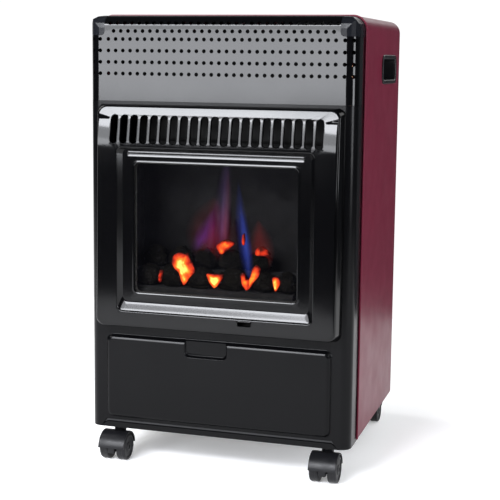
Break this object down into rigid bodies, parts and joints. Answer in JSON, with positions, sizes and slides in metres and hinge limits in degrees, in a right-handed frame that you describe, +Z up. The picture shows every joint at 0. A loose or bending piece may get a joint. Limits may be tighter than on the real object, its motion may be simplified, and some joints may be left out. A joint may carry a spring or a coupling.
{
  "type": "portable gas cabinet heater",
  "caption": "Upright cabinet gas heater on swivel casters, with a glazed coal fire in a proud surround, a perforated top band and a rear bottle bay.",
  "frame": {"origin": "on the floor, under the middle of the bounding box", "axes": "+Z up, the fire faces -Y, +X to the right seen from the front"},
  "size_m": [0.4242, 0.4292, 0.6982],
  "materials": {
    "red_enamel": "satin burgundy enamel",
    "black_enamel": "high-gloss black enamel",
    "satin_black": "satin black powder coat",
    "grey_plastic": "fine-grained dark grey plastic",
    "black_plastic": "black moulded plastic",
    "wheel_plastic": "black nylon tread",
    "window_glass": "clear ceramic glass, dark behind",
    "fibre": "woven glass-fibre rope",
    "firebox_steel": "sooted steel",
    "steel": "zinc-plated sheet steel",
    "brass": "machined brass",
    "copper": "drawn copper tube",
    "ceramic_bed": "dark fibre-ceramic ember bed",
    "coal_ceramic": "dark olive-black imitation coal",
    "white_ceramic": "white glazed insulator"
  },
  "bodies": {
    "root": {"cabinet_wrap": "red_enamel", "base_pan": "satin_black", "front_frame": "black_enamel", "top_grille": "black_enamel", "corner_cap_left": "grey_plastic", "corner_cap_right": "grey_plastic", "fire_surround": "black_enamel", "window_glass": "window_glass", "window_gasket": "fibre", "firebox": "firebox_steel", "burner_tube": "steel", "burner_bracket_left": "steel", "burner_bracket_right": "steel", "coal_tray": "ceramic_bed", "coal_front_1": "coal_ceramic", "coal_front_2": "coal_ceramic", "coal_front_3": "coal_ceramic", "coal_front_4": "coal_ceramic", "coal_front_5": "coal_ceramic", "coal_front_6": "coal_ceramic", "coal_back_1": "coal_ceramic", "coal_back_2": "coal_ceramic", "coal_back_3": "coal_ceramic", "coal_back_4": "coal_ceramic", "coal_back_5": "coal_ceramic", "pilot_burner": "brass", "thermocouple": "copper", "spark_electrode": "white_ceramic", "heat_partition": "steel", "air_deflector": "steel", "handle_left": "black_plastic", "handle_right": "black_plastic", "control_well": "black_plastic", "piezo_unit": "grey_plastic", "gas_valve": "brass", "hose_nozzle": "brass", "gas_pipe": "copper", "caster_socket_front_left": "steel", "caster_socket_front_right": "steel", "caster_socket_rear_left": "steel", "caster_socket_rear_right": "steel"},
    "rear_cover": {"rear_cover": "satin_black"},
    "valve_spindle": {"valve_spindle": "steel"},
    "control_knob": {"control_knob": "black_plastic"},
    "igniter_button": {"igniter_button": "grey_plastic"},
    "caster_front_left": {"caster_hood_front_left": "black_plastic"},
    "caster_wheel_front_left_left": {"caster_wheel_front_left_left": "wheel_plastic"},
    "caster_wheel_front_left_right": {"caster_wheel_front_left_right": "wheel_plastic"},
    "caster_front_right": {"caster_hood_front_right": "black_plastic"},
    "caster_wheel_front_right_left": {"caster_wheel_front_right_left": "wheel_plastic"},
    "caster_wheel_front_right_right": {"caster_wheel_front_right_right": "wheel_plastic"},
    "caster_rear_left": {"caster_hood_rear_left": "black_plastic"},
    "caster_wheel_rear_left_left": {"caster_wheel_rear_left_left": "wheel_plastic"},
    "caster_wheel_rear_left_right": {"caster_wheel_rear_left_right": "wheel_plastic"},
    "caster_rear_right": {"caster_hood_rear_right": "black_plastic"},
    "caster_wheel_rear_right_left": {"caster_wheel_rear_right_left": "wheel_plastic"},
    "caster_wheel_rear_right_right": {"caster_wheel_rear_right_right": "wheel_plastic"}
  },
  "joints": [
    {"name": "cover_pull", "type": "slide", "parent": "root", "child": "rear_cover", "axis": [0, 1, 0], "range_m": [0, 0.4]},
    {"name": "knob_turn", "type": "hinge", "parent": "root", "child": "valve_spindle", "pos_m": [0.09, 0.04945, 0.68], "axis": [0, 0, 1], "range_deg": [0, 210]},
    {"name": "knob_push", "type": "slide", "parent": "valve_spindle", "child": "control_knob", "axis": [0, 0, -1], "range_m": [0, 0.004], "stiffness_N_per_m": 800, "springref_m": -0.003},
    {"name": "igniter_press", "type": "slide", "parent": "root", "child": "igniter_button", "axis": [0, 0, -1], "range_m": [0, 0.005], "stiffness_N_per_m": 800, "springref_m": -0.003},
    {"name": "swivel_front_left", "type": "hinge", "parent": "root", "child": "caster_front_left", "pos_m": [-0.17, -0.16255, 0.05], "axis": [0, 0, 1], "continuous": true},
    {"name": "roll_front_left_left", "type": "hinge", "parent": "caster_front_left", "child": "caster_wheel_front_left_left", "pos_m": [-0.17, -0.17855, 0.0206], "axis": [1, 0, 0], "continuous": true},
    {"name": "roll_front_left_right", "type": "hinge", "parent": "caster_front_left", "child": "caster_wheel_front_left_right", "pos_m": [-0.17, -0.17855, 0.0206], "axis": [1, 0, 0], "continuous": true},
    {"name": "swivel_front_right", "type": "hinge", "parent": "root", "child": "caster_front_right", "pos_m": [0.17, -0.16255, 0.05], "axis": [0, 0, 1], "continuous": true},
    {"name": "roll_front_right_left", "type": "hinge", "parent": "caster_front_right", "child": "caster_wheel_front_right_left", "pos_m": [0.17, -0.17855, 0.0206], "axis": [1, 0, 0], "continuous": true},
    {"name": "roll_front_right_right", "type": "hinge", "parent": "caster_front_right", "child": "caster_wheel_front_right_right", "pos_m": [0.17, -0.17855, 0.0206], "axis": [1, 0, 0], "continuous": true},
    {"name": "swivel_rear_left", "type": "hinge", "parent": "root", "child": "caster_rear_left", "pos_m": [-0.17, 0.13445, 0.05], "axis": [0, 0, 1], "continuous": true},
    {"name": "roll_rear_left_left", "type": "hinge", "parent": "caster_rear_left", "child": "caster_wheel_rear_left_left", "pos_m": [-0.17, 0.15045, 0.0206], "axis": [1, 0, 0], "continuous": true},
    {"name": "roll_rear_left_right", "type": "hinge", "parent": "caster_rear_left", "child": "caster_wheel_rear_left_right", "pos_m": [-0.17, 0.15045, 0.0206], "axis": [1, 0, 0], "continuous": true},
    {"name": "swivel_rear_right", "type": "hinge", "parent": "root", "child": "caster_rear_right", "pos_m": [0.17, 0.13445, 0.05], "axis": [0, 0, 1], "continuous": true},
    {"name": "roll_rear_right_left", "type": "hinge", "parent": "caster_rear_right", "child": "caster_wheel_rear_right_left", "pos_m": [0.17, 0.15045, 0.0206], "axis": [1, 0, 0], "continuous": true},
    {"name": "roll_rear_right_right", "type": "hinge", "parent": "caster_rear_right", "child": "caster_wheel_rear_right_right", "pos_m": [0.17, 0.15045, 0.0206], "axis": [1, 0, 0], "continuous": true}
  ]
}
